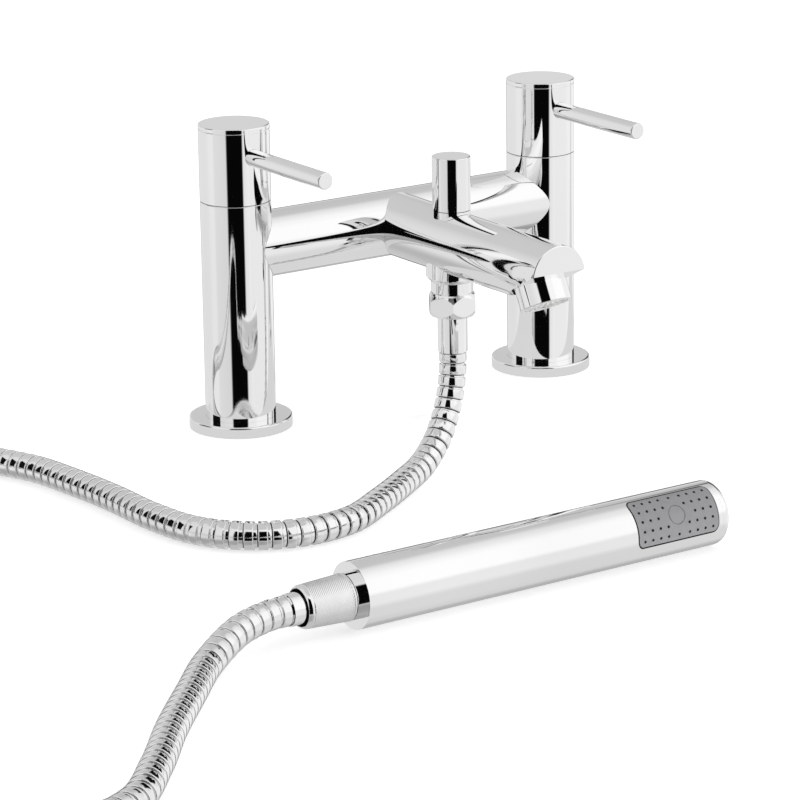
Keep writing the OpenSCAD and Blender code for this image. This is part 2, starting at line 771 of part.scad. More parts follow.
module shower_hose() {
    last = len(ring_places) - 1;
    bore_rings = concat([for (i = [0 : bore_every : last - 1]) i], [last]);
    bore_r = hose_bore / 2 / cos(180 / tube_sides);
    outside = [for (i = [0 : last]) each ring(i, ring_places[i][1])];
    inside = [for (i = bore_rings) each ring(i, bore_r)];
    bore_start = len(outside);
    bore_last = bore_start + (len(bore_rings) - 1) * tube_sides;
    faces = concat(
        [for (i = [0 : last - 1]) each band(i * tube_sides, (i + 1) * tube_sides)],
        [for (i = [0 : len(bore_rings) - 2])
            each band(bore_start + (i + 1) * tube_sides, bore_start + i * tube_sides)],
        band(bore_start, 0),
        band(last * tube_sides, bore_last));
    color(chrome) polyhedron(points = concat(outside, inside), faces = faces, convexity = 10);
}

// Handset
module cone_nut() {
    wide_z = -inlet_collar_l - cone_gap;
    nose_z = wide_z - cone_l;
    nose_r = cone_nose_d / 2;
    color(satin_chrome) at_handset() difference() {
        rotate_extrude() {
            polygon([[0, nose_z], [nose_r - nose_round, nose_z], [nose_r, nose_z + nose_round],
                     [cone_d / 2, wide_z], [0, wide_z]]);
            translate([nose_r - nose_round, nose_z + nose_round]) circle(r = nose_round);
        }
        translate([0, 0, -shoulder]) cylinder(d = thread_d + 2 * fit, h = shoulder);
        translate([0, 0, nose_z - cut]) cylinder(d = cone_hole_d, h = cone_l);
    }
}

module handset_washer() {
    color(rubber) at_handset() translate([0, 0, -stub_end - handset_washer_t])
        ring_of(tail_flange_d, inlet_bore, handset_washer_t);
}

module handset_inlet() {
    color(chrome) at_handset() difference() {
        union() {
            translate([0, 0, -inlet_collar_l]) cylinder(d = inlet_collar_d, h = inlet_collar_l);
            translate([0, 0, -stub_end]) cylinder(d = thread_d, h = stub_l);
            cylinder(d = inlet_spigot_d, h = inlet_spigot_l);
        }
        translate([0, 0, -stub_end - cut])
            cylinder(d = inlet_bore, h = stub_end + inlet_spigot_l + 2 * cut);
    }
}

// Prism along +X with the outline of the spray plate, made larger all round by extra
module spray_prism(extra) {
    rotate([0, 90, 0]) linear_extrude(handset_d)
        rounded_rectangle(plate_l + 2 * extra, plate_w + 2 * extra, plate_corner + extra);
}

module handset_tube() {
    color(chrome) at_handset() difference() {
        cylinder(d = handset_d, h = tube_l);
        translate([0, 0, end_wall]) cylinder(d = tube_bore, h = tube_l);
        translate([0, 0, -cut]) cylinder(d = inlet_spigot_d + 2 * fit, h = end_wall + 2 * cut);
        at_spray() spray_prism(plate_seam);
    }
}

module handset_waterway() {
    color(white_plastic) at_handset() translate([0, 0, inlet_spigot_l])
        ring_of(inner_tube_d, inlet_bore, chamber_from - inlet_spigot_l);
}

module spray_chamber() {
    wall = 2.5;
    outer_d = tube_bore - 2 * chamber_gap;
    color(white_plastic) at_handset() difference() {
        translate([0, 0, chamber_from]) cylinder(d = outer_d, h = chamber_to - chamber_from);
        translate([0, 0, chamber_from + wall])
            cylinder(d = outer_d - 2 * wall, h = chamber_to - chamber_from - 2 * wall);
        translate([0, 0, chamber_from - cut]) cylinder(d = inlet_bore, h = wall + 2 * cut);
        at_spray() spray_prism(-wall + plate_corner / 2);
    }
}

// Columns of nozzles, counted from the middle of the plate, in each row
wide_step = 1.34;
side_columns = [for (i = [0 : 3]) wide_step + i];
nozzle_pitch = (plate_l / 2 - nozzle_margin) / side_columns[3];
full_row = concat([0], side_columns, -side_columns);
even_row = concat(side_columns, -side_columns);
short_row = concat([for (i = [1 : 3]) side_columns[i]], [for (i = [1 : 3]) -side_columns[i]]);
nozzle_rows = [full_row, even_row, short_row, even_row, full_row];

module spray_plate() {
    outer_r = handset_d / 2 + plate_proud;
    inner_r = tube_bore / 2 - chamber_gap + plate_gap;
    color(spray_grey) at_handset() difference() {
        intersection() {
            translate([0, 0, plate_centre - plate_l])
                ring_of(2 * outer_r, 2 * inner_r, 2 * plate_l);
            at_spray() spray_prism(0);
        }
        for (row = [0 : 4]) for (column = nozzle_rows[row])
            at_spray() rotate([0, 0, (row - 2) * row_angle])
                translate([inner_r / 2, 0, column * nozzle_pitch]) rotate([0, 90, 0])
                    cylinder(d = nozzle_hole_d, h = handset_d);
        at_spray() difference() {
            rotate([0, 90, 0]) ring_of(mark_d, mark_d - 2 * mark_w, handset_d);
            translate([0, 0, -mark_d]) cylinder(r = outer_r - mark_depth, h = 2 * mark_d);
        }
    }
}

module handset_end_cap() {
    color(chrome) at_handset() {
        translate([0, 0, tube_l]) rounded_bar(handset_d, end_cap_l, cap_round);
        translate([0, 0, tube_l - cap_spigot_l])
            cylinder(d = tube_bore - 2 * fit, h = cap_spigot_l + cut);
    }
}

pillar(left);  // left_pillar
base_flange(left);  // left_base_flange
base_seal(left);  // left_base_seal
inlet_tail(left);  // left_inlet_tail
seat_seal(left);  // left_seat_seal
valve_body(left);  // left_valve_body
fixed_disc(left);  // left_fixed_disc
moving_disc(left);  // left_moving_disc
spindle(left);  // left_spindle
spindle_ring(left);  // left_spindle_ring
bonnet(left);  // left_bonnet
handle(left);  // left_handle
handle_cap(left);  // left_handle_cap
lever(left);  // left_lever
grub_screw(left);  // left_grub_screw
pillar(right);  // right_pillar
base_flange(right);  // right_base_flange
base_seal(right);  // right_base_seal
inlet_tail(right);  // right_inlet_tail
seat_seal(right);  // right_seat_seal
valve_body(right);  // right_valve_body
fixed_disc(right);  // right_fixed_disc
moving_disc(right);  // right_moving_disc
spindle(right);  // right_spindle
spindle_ring(right);  // right_spindle_ring
bonnet(right);  // right_bonnet
handle(right);  // right_handle
handle_cap(right);  // right_handle_cap
lever(right);  // right_lever
grub_screw(right);  // right_grub_screw
cross_bar();
spout();
nozzle_housing();
nozzle_washer();
nozzle_insert();
diverter_knob();
diverter_stem();
diverter_washer();
diverter_guide();
diverter_ring();
outlet_nipple();
hose_nut();
hose_washer();
upper_hose_tail();
upper_ferrule();
shower_hose();
lower_ferrule();
lower_hose_tail();
cone_nut();
handset_washer();
handset_inlet();
handset_tube();
handset_waterway();
spray_chamber();
spray_plate();
handset_end_cap();
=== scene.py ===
"""Bath shower mixer with a baton handset: finishes, hose, threads, stage, light and camera.

Everything is in metres, in the frame of the CAD model: +X to the right-hand inlet, the spout
points to -Y, +Z is up, and the origin lies on the deck midway between the two inlets.
"""

import json
import math

import bpy
from mathutils import Matrix, Vector

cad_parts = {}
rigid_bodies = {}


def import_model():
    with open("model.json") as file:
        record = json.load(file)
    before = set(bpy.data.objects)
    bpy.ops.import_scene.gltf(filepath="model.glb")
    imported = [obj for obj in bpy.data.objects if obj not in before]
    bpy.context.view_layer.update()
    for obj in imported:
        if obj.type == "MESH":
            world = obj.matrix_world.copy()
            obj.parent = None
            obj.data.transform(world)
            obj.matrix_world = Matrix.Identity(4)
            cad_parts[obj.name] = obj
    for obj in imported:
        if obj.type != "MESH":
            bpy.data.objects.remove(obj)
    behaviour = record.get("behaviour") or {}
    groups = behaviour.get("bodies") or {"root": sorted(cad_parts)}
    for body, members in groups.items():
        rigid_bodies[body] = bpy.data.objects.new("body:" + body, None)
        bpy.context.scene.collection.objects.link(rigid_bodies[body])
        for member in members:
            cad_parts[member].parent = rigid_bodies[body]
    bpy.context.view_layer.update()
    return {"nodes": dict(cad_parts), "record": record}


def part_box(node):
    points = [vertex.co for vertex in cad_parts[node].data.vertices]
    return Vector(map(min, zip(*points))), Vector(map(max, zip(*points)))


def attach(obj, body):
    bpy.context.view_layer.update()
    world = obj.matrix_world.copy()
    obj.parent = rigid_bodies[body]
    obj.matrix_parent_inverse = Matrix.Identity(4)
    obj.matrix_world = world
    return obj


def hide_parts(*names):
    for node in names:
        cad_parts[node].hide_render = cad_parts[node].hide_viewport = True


for thing in list(bpy.data.objects):
    bpy.data.objects.remove(thing, do_unlink=True)
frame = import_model()

MM = 0.001


# Camera

def make_camera():
    """A long lens, from the front on the left and a little above."""
    distance = 1.8
    azimuth = math.radians(-33.81)
    elevation = math.radians(16.298)
    roll = math.radians(-0.753)
    target = Vector((0.0, -0.004438, -0.002366))
    back = Vector((
        math.sin(azimuth) * math.cos(elevation),
        -math.cos(azimuth) * math.cos(elevation),
        math.sin(elevation),
    ))
    level = Vector((math.cos(azimuth), math.sin(azimuth), 0.0))
    upright = back.cross(level)
    right = level * math.cos(roll) + upright * math.sin(roll)
    up = upright * math.cos(roll) - level * math.sin(roll)
    data = bpy.data.cameras.new("camera")
    data.sensor_width = 36.0
    data.lens = 162.51
    data.clip_start = 0.05
    data.clip_end = 40.0
    camera = bpy.data.objects.new("camera", data)
    bpy.context.scene.collection.objects.link(camera)
    place = Matrix((right, up, back)).transposed().to_4x4()
    place.translation = target + back * distance
    camera.matrix_world = place
    bpy.context.scene.camera = camera


make_camera()


# Meshes

def mesh_object(name, points, faces, sharp_angle=None):
    """A smooth-shaded object, with sharp edges where faces meet at more than the angle in degrees."""
    mesh = bpy.data.meshes.new(name)
    mesh.from_pydata(points, [], faces)
    mesh.update()
    mesh.polygons.foreach_set("use_smooth", [True] * len(mesh.polygons))
    if sharp_angle is not None:
        mesh.set_sharp_from_angle(angle=math.radians(sharp_angle))
    piece = bpy.data.objects.new(name, mesh)
    bpy.context.scene.collection.objects.link(piece)
    return piece


def joined_rings(ring_count, sides, first=0, closed=False, inside_out=False):
    """Quads between rings of points, each ring with the same number of sides."""
    faces = []
    last = ring_count if closed else ring_count - 1
    for ring in range(last):
        low = first + ring * sides
        high = first + ((ring + 1) % ring_count) * sides
        for side in range(sides):
            after = (side + 1) % sides
            faces.append((low + side, low + after, high + after, high + side))
    if inside_out:
        faces = [tuple(reversed(face)) for face in faces]
    return faces


def spoke_turns(sides):
    return [2 * math.pi * i / sides for i in range(sides)]


# Hose: lengths in mm, with ribs that have a narrow slot between them, painted dark rubber as shade

HOSE_R = 6.7
VALLEY_R = 5.85
HOSE_BORE_R = 4.05
SLEEVE_L = 17.7
RIB_COUNT = 200
LIE = -18.3
HOSE_START = Vector((0.0, -51.0, 51.5))
HOSE_FINISH = Vector((-183.7, -217.0, -10.0))
HOSE_LOOSE = [
    (-0.7, -51.5, 22.3), (-4.7, -53.7, 8.4), (-13.9, -58.5, -5.4), (-28.5, -66.0, -15.1),
    (-46.5, -76.0, LIE), (-71.1, -93.1, LIE), (-97.9, -108.9, LIE), (-125.0, -111.4, LIE),
    (-148.6, -101.0, LIE), (-164.2, -80.2, LIE), (-169.8, -50.0, LIE), (-170.7, -16.0, LIE),
    (-173.8, 18.1, LIE), (-179.4, 50.0, LIE), (-195.8, 80.9, LIE), (-226.3, 98.4, LIE),
    (-259.7, 95.3, LIE), (-286.9, 72.5, LIE), (-303.9, 35.9, LIE), (-328.0, -20.0, LIE),
    (-354.0, -80.0, LIE), (-380.0, -140.0, LIE), (-406.0, -200.0, LIE), (-428.0, -252.0, LIE),
    (-436.9, -285.9, LIE), (-430.7, -320.4, LIE), (-409.8, -344.1, LIE), (-380.1, -352.8, LIE),
    (-349.8, -343.8, LIE), (-323.7, -317.0, LIE), (-299.6, -287.4, LIE), (-272.2, -257.0, LIE),
    (-251.5, -235.0, -17.7), (-229.9, -222.1, -12.7), (-213.9, -217.7, -10.5),
]
# One rib along the hose: place from its middle and radius, both in mm. The strip's edge tucks in
# under the next turn, and leaves a narrow slot there.
RIB_PROFILE = [
    (-2.30, VALLEY_R), (-2.25, 6.28), (-2.17, 6.50), (-2.00, 6.63), (-1.70, 6.685),
    (0.0, HOSE_R),
    (1.70, 6.685), (2.00, 6.63), (2.17, 6.50), (2.25, 6.28), (2.28, 5.95),
    (2.30, 5.20), (2.66, 5.20), (2.68, 5.80), (2.78, VALLEY_R),
]
# The rings round each slot, whose faces are painted dark as the slot's shade
SLOT_SHADE_RINGS = (10, 11, 12)
RIB_REACH = 2.3
PATH_STEPS = 420


def bend(a, b, c, d, t):
    """A point on the smooth curve from b to c, whose neighbours are a and d."""
    return 0.5 * (2 * b + (c - a) * t + (2 * a - 5 * b + 4 * c - d) * t * t
                  + (3 * b - a - 3 * c + d) * t * t * t)


class Route:
    """A smooth line through the hose's points, with places along its length in mm."""

    def __init__(self, points, steps=24):
        last = len(points) - 1
        self.line = []
        for i in range(last):
            before = points[max(i - 1, 0)]
            after = points[min(i + 2, last)]
            for j in range(steps):
                self.line.append(bend(before, points[i], points[i + 1], after, j / steps))
        self.line.append(points[last])
        self.places = [0.0]
        for a, b in zip(self.line, self.line[1:]):
            self.places.append(self.places[-1] + (b - a).length)
        self.length = self.places[-1]

    def at(self, place):
        place = min(max(place, 0.0), self.length)
        low, high = 0, len(self.places) - 1
        while high - low > 1:
            middle = (low + high) // 2
            if self.places[middle] <= place:
                low = middle
            else:
                high = middle
        share = (place - self.places[low]) / (self.places[high] - self.places[low])
        return self.line[low].lerp(self.line[high], share)

    def way(self, place, reach=1.0):
        return (self.at(place + reach) - self.at(place - reach)).normalized()


def hose_route():
    points = [HOSE_START - Vector((0, 0, SLEEVE_L * part / 3)) for part in range(4)]
    points += [Vector(p) for p in HOSE_LOOSE]
    points += [HOSE_FINISH - Vector((SLEEVE_L * part / 3, 0, 0)) for part in (3, 2, 1, 0)]
    return Route(points)


def make_hose(sides=36, bore_step=6.0):
    route = hose_route()
    pitch = (route.length - 2 * SLEEVE_L) / RIB_COUNT
    sleeve = [(0.0, HOSE_R - 0.1), (0.5 * SLEEVE_L, HOSE_R), (SLEEVE_L - 0.4, HOSE_R)]
    # Rings as (centre, direction, radius); a rib is stiff, so all its rings share one direction
    rings = []
    for place, radius in sleeve:
        rings.append((route.at(place), route.way(place), radius))
    for rib in range(RIB_COUNT):
        middle = SLEEVE_L + (rib + 0.5) * pitch
        centre = route.at(middle)
        way = route.way(middle, RIB_REACH)
        for offset, radius in RIB_PROFILE:
            rings.append((centre + way * offset, way, radius))
    for place, radius in reversed(sleeve):
        back = route.length - place
        rings.append((route.at(back), route.way(back), radius))
    # Back through the bore, which closes the tube's wall
    stations = int(route.length / bore_step)
    for i in range(stations, -1, -1):
        place = route.length * i / stations
        rings.append((route.at(place), route.way(place), HOSE_BORE_R))

    points = []
    side = Vector((1, 0, 0))
    for centre, way, radius in rings:
        side = (side - way * side.dot(way)).normalized()
        across = way.cross(side)
        for turn in spoke_turns(sides):
            spoke = side * math.cos(turn) + across * math.sin(turn)
            points.append(tuple((centre + spoke * radius) * MM))
    faces = joined_rings(len(rings), sides, closed=True)
    piece = mesh_object("hose_ribbed", points, faces, sharp_angle=50)
    slots = []
    for rib in range(RIB_COUNT):
        for ring in SLOT_SHADE_RINGS:
            low = (len(sleeve) + rib * len(RIB_PROFILE) + ring) * sides
            slots += range(low, low + sides)
    # The slot faces get the dark rubber, painted shade between the ribs
    for face in slots:
        piece.data.polygons[face].material_index = 1

    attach(piece, "mixer_body")
    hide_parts("shower_hose")
    path = [tuple(route.at(route.length * i / PATH_STEPS) * MM) for i in range(PATH_STEPS + 1)]
    return piece


hose = make_hose()


# Knurled nut at the handset's end of the hose

HANDSET_AXIS = Vector((-169.0, -217.0, -10.0))


def make_knurled_nut(sides=396, starts=54, depth=0.22):
    """The nut's cone, with two crossing sets of slanted grooves, one deeper than the other."""
    deep, shallow = 0.72, 0.28
    wide_x = -3.2
    nose_x = -27.4
    nose_round = 3.5
    wide_r = 10.6
    nose_r = 9.7
    hole_r = 7.5
    thread_r = 9.35
    lip_r = 8.35
    recess_l = 4.5
    chamfer = 0.25
    shoulder_x = -12.4
    round_x = nose_x + nose_round
    knurl_from = -23.7
    knurl_to = -4.3
    knurl_r = 10.2
    knurl_steps = 104
    nose_steps = 10
    nose_start = 0.11
    # Profile as (x, radius, knurled) from the wide end over the outside to the inside
    profile = [(wide_x, thread_r, 0), (wide_x, wide_r - chamfer, 0), (wide_x - chamfer, wide_r, 0)]

    def cone_r(x):
        return wide_r + (nose_r - wide_r) * (wide_x - x) / (wide_x - round_x)

    for i in range(knurl_steps + 1):
        x = knurl_to + (knurl_from - knurl_to) * i / knurl_steps
        profile.append((x, cone_r(x), 0 if i in (0, knurl_steps) else 1))
    nose_ring = len(profile) - 1
    profile.append((round_x - 0.05, nose_r - 0.22, 0))
    profile.append((round_x - 0.30, nose_r - 0.24, 0))
    end_turn = math.acos((lip_r + 0.2 - (nose_r - nose_round)) / nose_round)
    for i in range(1, nose_steps + 1):
        turn = nose_start + (end_turn - nose_start) * i / nose_steps
        profile.append((round_x - nose_round * math.sin(turn),
                        nose_r - nose_round + nose_round * math.cos(turn), 0))
    end_x = profile[-1][0]
    recess = len(profile)
    profile += [(end_x + 0.15, lip_r, 0), (end_x + 0.6, lip_r - 0.1, 0)]
    profile += [(end_x + recess_l, lip_r - 0.15, 0), (end_x + recess_l, hole_r, 0)]
    profile += [(shoulder_x, hole_r, 0), (shoulder_x, thread_r, 0)]
    points = []
    for x, radius, knurled in profile:
        for turn in spoke_turns(sides):
            r = radius
            if knurled:
                along = (x - knurl_to) * starts / (2 * math.pi * knurl_r)
                one = abs(((starts * turn / (2 * math.pi) + along) % 1.0) * 2 - 1)
                two = abs(((starts * turn / (2 * math.pi) - along) % 1.0) * 2 - 1)
                r -= depth * (deep * one + shallow * two)
            place = HANDSET_AXIS + Vector((x, r * math.cos(turn), r * math.sin(turn)))
            points.append(tuple(place * MM))
    faces = joined_rings(len(profile), sides, closed=True, inside_out=True)
    piece = mesh_object("cone_nut_knurled", points, faces, sharp_angle=35)
    # The nose is bright chrome, and the recess round the hose gets dark steel as painted shade in the gap
    for face in piece.data.polygons:
        ring = face.index // sides
        if ring >= recess:
            face.material_index = 2
        elif ring >= nose_ring:
            face.material_index = 1
    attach(piece, "handset_body")
    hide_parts("cone_nut")
    return piece


knurled_nut = make_knurled_nut()


# Threaded inlet tails below the deck: G 3/4, 14 threads to the inch

def make_tail(name, node, x, sides=96):
    crest_r = 13.2
    thread_depth = 1.16
    pitch = 25.4 / 14
    length = 45.0
    low = -length
    bore_r = 9.5
    neck_r = 12.7
    neck_top = 15.5
    per_turn = 10
    rows = int(length / pitch * per_turn)
    plain = 2.0
    flat, flank = 0.14, 0.72
    chamfer = 0.3
    profile = [(low, bore_r, 0)]
    for i in range(rows + 1):
        z = low + length * i / rows
        profile.append((z, crest_r, 1))
    profile += [(0.0, neck_r, 0), (neck_top, neck_r, 0), (neck_top, bore_r, 0)]
    points = []
    for z, radius, threaded in profile:
        for i, turn in enumerate(spoke_turns(sides)):
            r = radius
            if threaded:
                share = (z / pitch - i / sides) % 1.0
                tooth = min(1.0, max(0.0, (abs(share * 2 - 1) - flat) / flank))
                tooth = tooth * tooth * (3 - 2 * tooth)
                cut = thread_depth * tooth
                # The thread runs out below the deck, and its first turn is chamfered
                cut *= min(1.0, max(0.0, (-z - plain) / pitch))
                cut = max(cut, thread_depth + chamfer - (z - low))
                r -= cut
            points.append(((x + r * math.cos(turn)) * MM, r * math.sin(turn) * MM, z * MM))
    faces = joined_rings(len(profile), sides, closed=True)
    piece = mesh_object(name, points, faces, sharp_angle=40)
    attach(piece, "mixer_body")
    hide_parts(node)
    return piece


tails = [make_tail("left_tail_threaded", "left_inlet_tail", -90.0),
         make_tail("right_tail_threaded", "right_inlet_tail", 90.0)]


# Rubber nozzles in the spray plate's holes, and a dark rubber bead in the seam round the plate, which
# paints the shade in the seam

PLATE_X = -2.6
PLATE_TURN = math.radians(59.5)
PLATE_L = 44.8
PLATE_W = 21.0
PLATE_CORNER = 2.6
PLATE_R = 15.25
TUBE_R = 15.0
ROW_ANGLE = math.radians(17.0)


def plate_frame(along, turn):
    """A point on the handset's axis beside the plate, and the direction out of the plate there."""
    angle = PLATE_TURN + turn
    out = Vector((0.0, -math.sin(angle), math.cos(angle)))
    return Vector((PLATE_X + along, HANDSET_AXIS.y, HANDSET_AXIS.z)), out


def make_nozzles(sides=14):
    """40 nozzles in five rows, with room for the round button in the middle."""
    margin = 3.1
    side_columns = [1.34, 2.34, 3.34, 4.34]
    pitch = (PLATE_L / 2 - margin) / side_columns[3]
    both = side_columns + [-c for c in side_columns]
    short = [c for c in both if abs(c) > 2]
    rows = [[0.0] + both, both, short, both, [0.0] + both]
    # Radius and height above the plate: a rim, a crown and the jet's hole
    profile = [(0.56, -0.9), (0.56, -0.04), (0.66, -0.04), (0.66, 0.06), (0.55, 0.14), (0.34, 0.16),
               (0.26, 0.08), (0.22, -0.5)]
    points = []
    faces = []
    for row, columns in enumerate(rows):
        for column in columns:
            base, out = plate_frame(column * pitch, (row - 2) * ROW_ANGLE)
            side = Vector((1.0, 0.0, 0.0))
            across = out.cross(side)
            first = len(points)
            for radius, height in profile:
                for turn in spoke_turns(sides):
                    spoke = side * math.cos(turn) + across * math.sin(turn)
                    points.append(tuple((base + out * (PLATE_R + height) + spoke * radius) * MM))
            faces += joined_rings(len(profile), sides, first)
            faces.append(tuple(range(len(points) - sides, len(points))))
            faces.append(tuple(reversed(range(first, first + sides))))
    piece = mesh_object("spray_nozzles", points, faces, sharp_angle=40)
    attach(piece, "handset_body")
    return piece


def make_shade_bead(corner_steps=8):
    """A thin closed dark bead that follows the plate's outline, painted shade in the seam between plate
    and tube.
    """
    seam = 0.13
    spacing = 0.6
    inner, outer, foot = 0.25, 0.42, 0.11
    top, bottom = 0.06, -1.2
    bead_r = PLATE_CORNER + seam
    outline = []
    for centre_a, centre_b, start in ((1, 1, 0), (-1, 1, 90), (-1, -1, 180), (1, -1, 270)):
        for i in range(corner_steps + 1):
            turn = math.radians(start + 90 * i / corner_steps)
            a = centre_a * (PLATE_L / 2 - PLATE_CORNER) + bead_r * math.cos(turn)
            b = centre_b * (PLATE_W / 2 - PLATE_CORNER) + bead_r * math.sin(turn)
            outline.append((a, b))
    fine = []
    for (a0, b0), (a1, b1) in zip(outline, outline[1:] + outline[:1]):
        count = max(1, int(math.hypot(a1 - a0, b1 - b0) / spacing))
        for i in range(count):
            fine.append((a0 + (a1 - a0) * i / count, b0 + (b1 - b0) * i / count))
    middle, out = plate_frame(0.0, 0.0)
    tangent = Vector((1.0, 0.0, 0.0)).cross(out)
    points = []
    count = len(fine)
    for i, (a, b) in enumerate(fine):
        before = Vector(fine[i - 1])
        after = Vector(fine[(i + 1) % count])
        way = (after - before).normalized()
        side = Vector((way.y, -way.x))
        for offset, depth in ((-inner, top), (outer, top), (foot, bottom), (-foot, bottom)):
            place = Vector((a, b)) + side * offset
            height = math.sqrt(TUBE_R ** 2 - place.y ** 2) + depth
            point = middle + Vector((place.x, 0, 0)) + tangent * place.y + out * height
            points.append(tuple(point * MM))
    faces = joined_rings(count, 4, closed=True, inside_out=True)
    piece = mesh_object("plate_shade_bead", points, faces, sharp_angle=40)
    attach(piece, "handset_body")
    return piece


nozzles = make_nozzles()
shade_bead = make_shade_bead()


# The rounded edges at the joints of the pillars and handles, which catch the light

def make_edge(name, node, body, sides=192):
    """A fine rounded lip at the top of a round node, where the next one sits on it."""
    low, high = [Vector(corner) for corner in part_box(node)]
    middle = 0.5 * (low + high)
    radius = 0.5 * (high.y - low.y)
    seam = high.z
    # Distance out from the node's wall and height above the seam
    profile = [(-0.4, -0.42), (-0.02, -0.42), (0.05, -0.36), (0.075, -0.25), (0.05, -0.14),
               (-0.03, -0.07), (-0.4, -0.07)]
    points = []
    for out, rise in profile:
        r = radius + out * MM
        z = seam + rise * MM
        for turn in spoke_turns(sides):
            points.append((middle.x + r * math.cos(turn), middle.y + r * math.sin(turn), z))
    faces = joined_rings(len(profile), sides, closed=True)
    piece = mesh_object(name, points, faces, sharp_angle=60)
    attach(piece, body)
    return piece


edges = []
for hand in ("left", "right"):
    edges.append(make_edge(hand + "_handle_edge", hand + "_handle", hand + "_handle_body"))
    edges.append(make_edge(hand + "_pillar_edge", hand + "_pillar", "mixer_body"))


# Materials

def new_material(name):
    material = bpy.data.materials.new(name)
    material.use_nodes = True
    tree = material.node_tree
    shader = tree.nodes["Principled BSDF"]
    return material, tree, shader


def object_noise(tree, scale, detail=3.0, roughness=0.5, stretch=None):
    """Noise that is fixed to the piece, with the scale in waves to the metre."""
    place = tree.nodes.new("ShaderNodeTexCoord")
    source = place.outputs["Object"]
    if stretch is not None:
        mapping = tree.nodes.new("ShaderNodeMapping")
        mapping.inputs["Scale"].default_value = stretch
        tree.links.new(source, mapping.inputs["Vector"])
        source = mapping.outputs["Vector"]
    noise = tree.nodes.new("ShaderNodeTexNoise")
    noise.inputs["Scale"].default_value = scale
    noise.inputs["Detail"].default_value = detail
    noise.inputs["Roughness"].default_value = roughness
    tree.links.new(source, noise.inputs["Vector"])
    return noise.outputs["Fac"]


def spread(tree, value, low, high, start=0.3, end=0.7):
    """The value's middle range, mapped on to low to high."""
    node = tree.nodes.new("ShaderNodeMapRange")
    node.inputs["From Min"].default_value = start
    node.inputs["From Max"].default_value = end
    node.inputs["To Min"].default_value = low
    node.inputs["To Max"].default_value = high
    tree.links.new(value, node.inputs["Value"])
    return node.outputs["Result"]


def two_tones(tree, value, dark, light, start=0.3, end=0.7):
    """The value's middle range, mapped on to two colours."""
    ramp = tree.nodes.new("ShaderNodeValToRGB")
    ramp.color_ramp.elements[0].position = start
    ramp.color_ramp.elements[0].color = (*dark, 1.0)
    ramp.color_ramp.elements[1].position = end
    ramp.color_ramp.elements[1].color = (*light, 1.0)
    tree.links.new(value, ramp.inputs["Fac"])
    return ramp.outputs["Color"]


def add_bump(tree, shader, height, strength, distance):
    bump = tree.nodes.new("ShaderNodeBump")
    bump.inputs["Strength"].default_value = strength
    bump.inputs["Distance"].default_value = distance
    tree.links.new(height, bump.inputs["Height"])
    tree.links.new(bump.outputs["Normal"], shader.inputs["Normal"])


def mirror_chrome(name, dark, light, smooth, dull):
    material, tree, shader = new_material(name)
    shader.inputs["Metallic"].default_value = 1.0
    tone = object_noise(tree, 9.0, 2.0)
    tree.links.new(two_tones(tree, tone, dark, light), shader.inputs["Base Color"])
    haze = object_noise(tree, 38.0, 5.0, 0.6)
    tree.links.new(spread(tree, haze, smooth, dull), shader.inputs["Roughness"])
    return material


def satin_metal(name, dark, light, smooth, dull):
    material, tree, shader = new_material(name)
    shader.inputs["Metallic"].default_value = 1.0
    tone = object_noise(tree, 60.0, 4.0)
    tree.links.new(two_tones(tree, tone, dark, light), shader.inputs["Base Color"])
    haze = object_noise(tree, 400.0, 4.0)
    tree.links.new(spread(tree, haze, smooth, dull), shader.inputs["Roughness"])
    add_bump(tree, shader, object_noise(tree, 2600.0, 2.0), 0.12, 0.0001)
    return material


def machined_brass(name):
    material, tree, shader = new_material(name)
    shader.inputs["Metallic"].default_value = 1.0
    tone = object_noise(tree, 70.0, 5.0, 0.6)
    tree.links.new(two_tones(tree, tone, (0.52, 0.36, 0.13), (0.80, 0.60, 0.27)),
                   shader.inputs["Base Color"])
    lines = object_noise(tree, 1.0, 2.0, 0.5, stretch=(30.0, 30.0, 3200.0))
    tree.links.new(spread(tree, lines, 0.2, 0.4), shader.inputs["Roughness"])
    add_bump(tree, shader, lines, 0.2, 0.00008)
    return material


def plain_surface(name, dark, light, smooth, dull, grain, bump, distance, specular=0.5):
    material, tree, shader = new_material(name)
    shader.inputs["Specular IOR Level"].default_value = specular
    tone = object_noise(tree, grain * 0.12, 4.0, 0.6)
    tree.links.new(two_tones(tree, tone, dark, light), shader.inputs["Base Color"])
    haze = object_noise(tree, grain * 0.3, 3.0)
    tree.links.new(spread(tree, haze, smooth, dull), shader.inputs["Roughness"])
    add_bump(tree, shader, object_noise(tree, grain, 3.0, 0.55), bump, distance)
    return material


def even(value):
    return (value, value, value)


